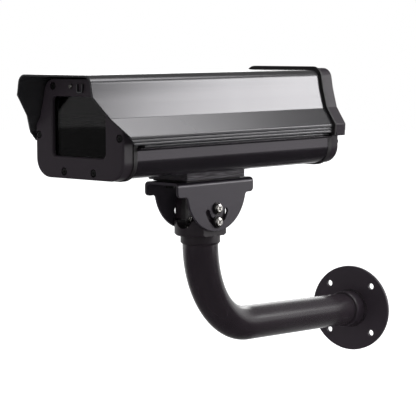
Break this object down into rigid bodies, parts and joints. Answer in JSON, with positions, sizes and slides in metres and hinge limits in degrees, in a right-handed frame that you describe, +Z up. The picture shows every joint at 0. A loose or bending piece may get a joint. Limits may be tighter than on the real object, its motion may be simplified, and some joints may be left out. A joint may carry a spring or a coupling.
{
  "type": "security camera housing",
  "caption": "Camera housing with a sun hood and a side-hinged lid, tilting on a slotted yoke and panning on a bent wall arm with a round flange.",
  "frame": {"origin": "centre of the wall flange's back face", "axes": "+Z up; -Y the way the window looks; +X towards the hinge side of the lid. The arm is drawn panned 9.31 degrees from the housing, as pictured"},
  "size_m": [0.1889, 0.5769, 0.3683],
  "materials": {
    "body_paint": "satin powder coat over extruded aluminium",
    "cap_paint": "satin coat over moulded metal",
    "cast_paint": "satin coat over a casting",
    "arm_paint": "satin powder coat over steel",
    "yoke_paint": "satin powder coat over steel sheet",
    "anodised": "dark anodised, brushed",
    "bright_steel": "nickel plated",
    "dark_steel": "blackened",
    "frame_sheet": "mill finish sheet",
    "rubber": "matt black",
    "nylon": "moulded black nylon",
    "fibre": "red fibre",
    "window": "clear flat glass"
  },
  "bodies": {
    "bracket": {"arm_pipe": "arm_paint", "wall_flange": "arm_paint"},
    "head": {"head_casting": "cast_paint", "grub_screws": "dark_steel", "pivot_bolts": "bright_steel", "lock_bolts": "bright_steel", "bolt_washers": "dark_steel"},
    "housing": {"yoke": "yoke_paint", "yoke_pad": "rubber", "adaptor_block": "anodised", "adaptor_screws": "dark_steel", "adaptor_nuts": "bright_steel", "tray": "body_paint", "side_seals": "rubber", "closing_screws": "dark_steel", "closing_washers": "rubber", "front_cap": "cap_paint", "front_cap_screws": "dark_steel", "front_gasket": "rubber", "window_gasket": "rubber", "window_glass": "window", "window_frame": "frame_sheet", "window_frame_screws": "dark_steel", "hood_clip": "frame_sheet", "hood_clip_screw": "bright_steel", "tray_rear_gasket": "rubber", "tray_rear_cap": "cap_paint", "tray_rear_screws": "dark_steel", "gland_bodies": "nylon", "gland_nuts": "nylon", "gland_locknuts": "nylon", "gland_plugs": "rubber", "camera_plate": "frame_sheet", "plate_screws": "bright_steel", "camera_screw": "bright_steel", "camera_washer": "fibre"},
    "lid": {"lid": "body_paint", "lid_rear_gasket": "rubber", "lid_rear_cap": "cap_paint", "lid_rear_screws": "dark_steel"}
  },
  "joints": [
    {"name": "pan", "type": "hinge", "parent": "bracket", "child": "head", "pos_m": [0.05743, -0.35032, 0.12871], "axis": [0, 0, 1], "range_deg": [-160, 179]},
    {"name": "tilt", "type": "hinge", "parent": "head", "child": "housing", "pos_m": [0.05743, -0.35032, 0.15971], "axis": [1, 0, 0], "range_deg": [-45, 45]},
    {"name": "lid_hinge", "type": "hinge", "parent": "housing", "child": "lid", "pos_m": [0.12393, -0.35032, 0.23721], "axis": [0, 1, 0], "range_deg": [0, 85]}
  ]
}
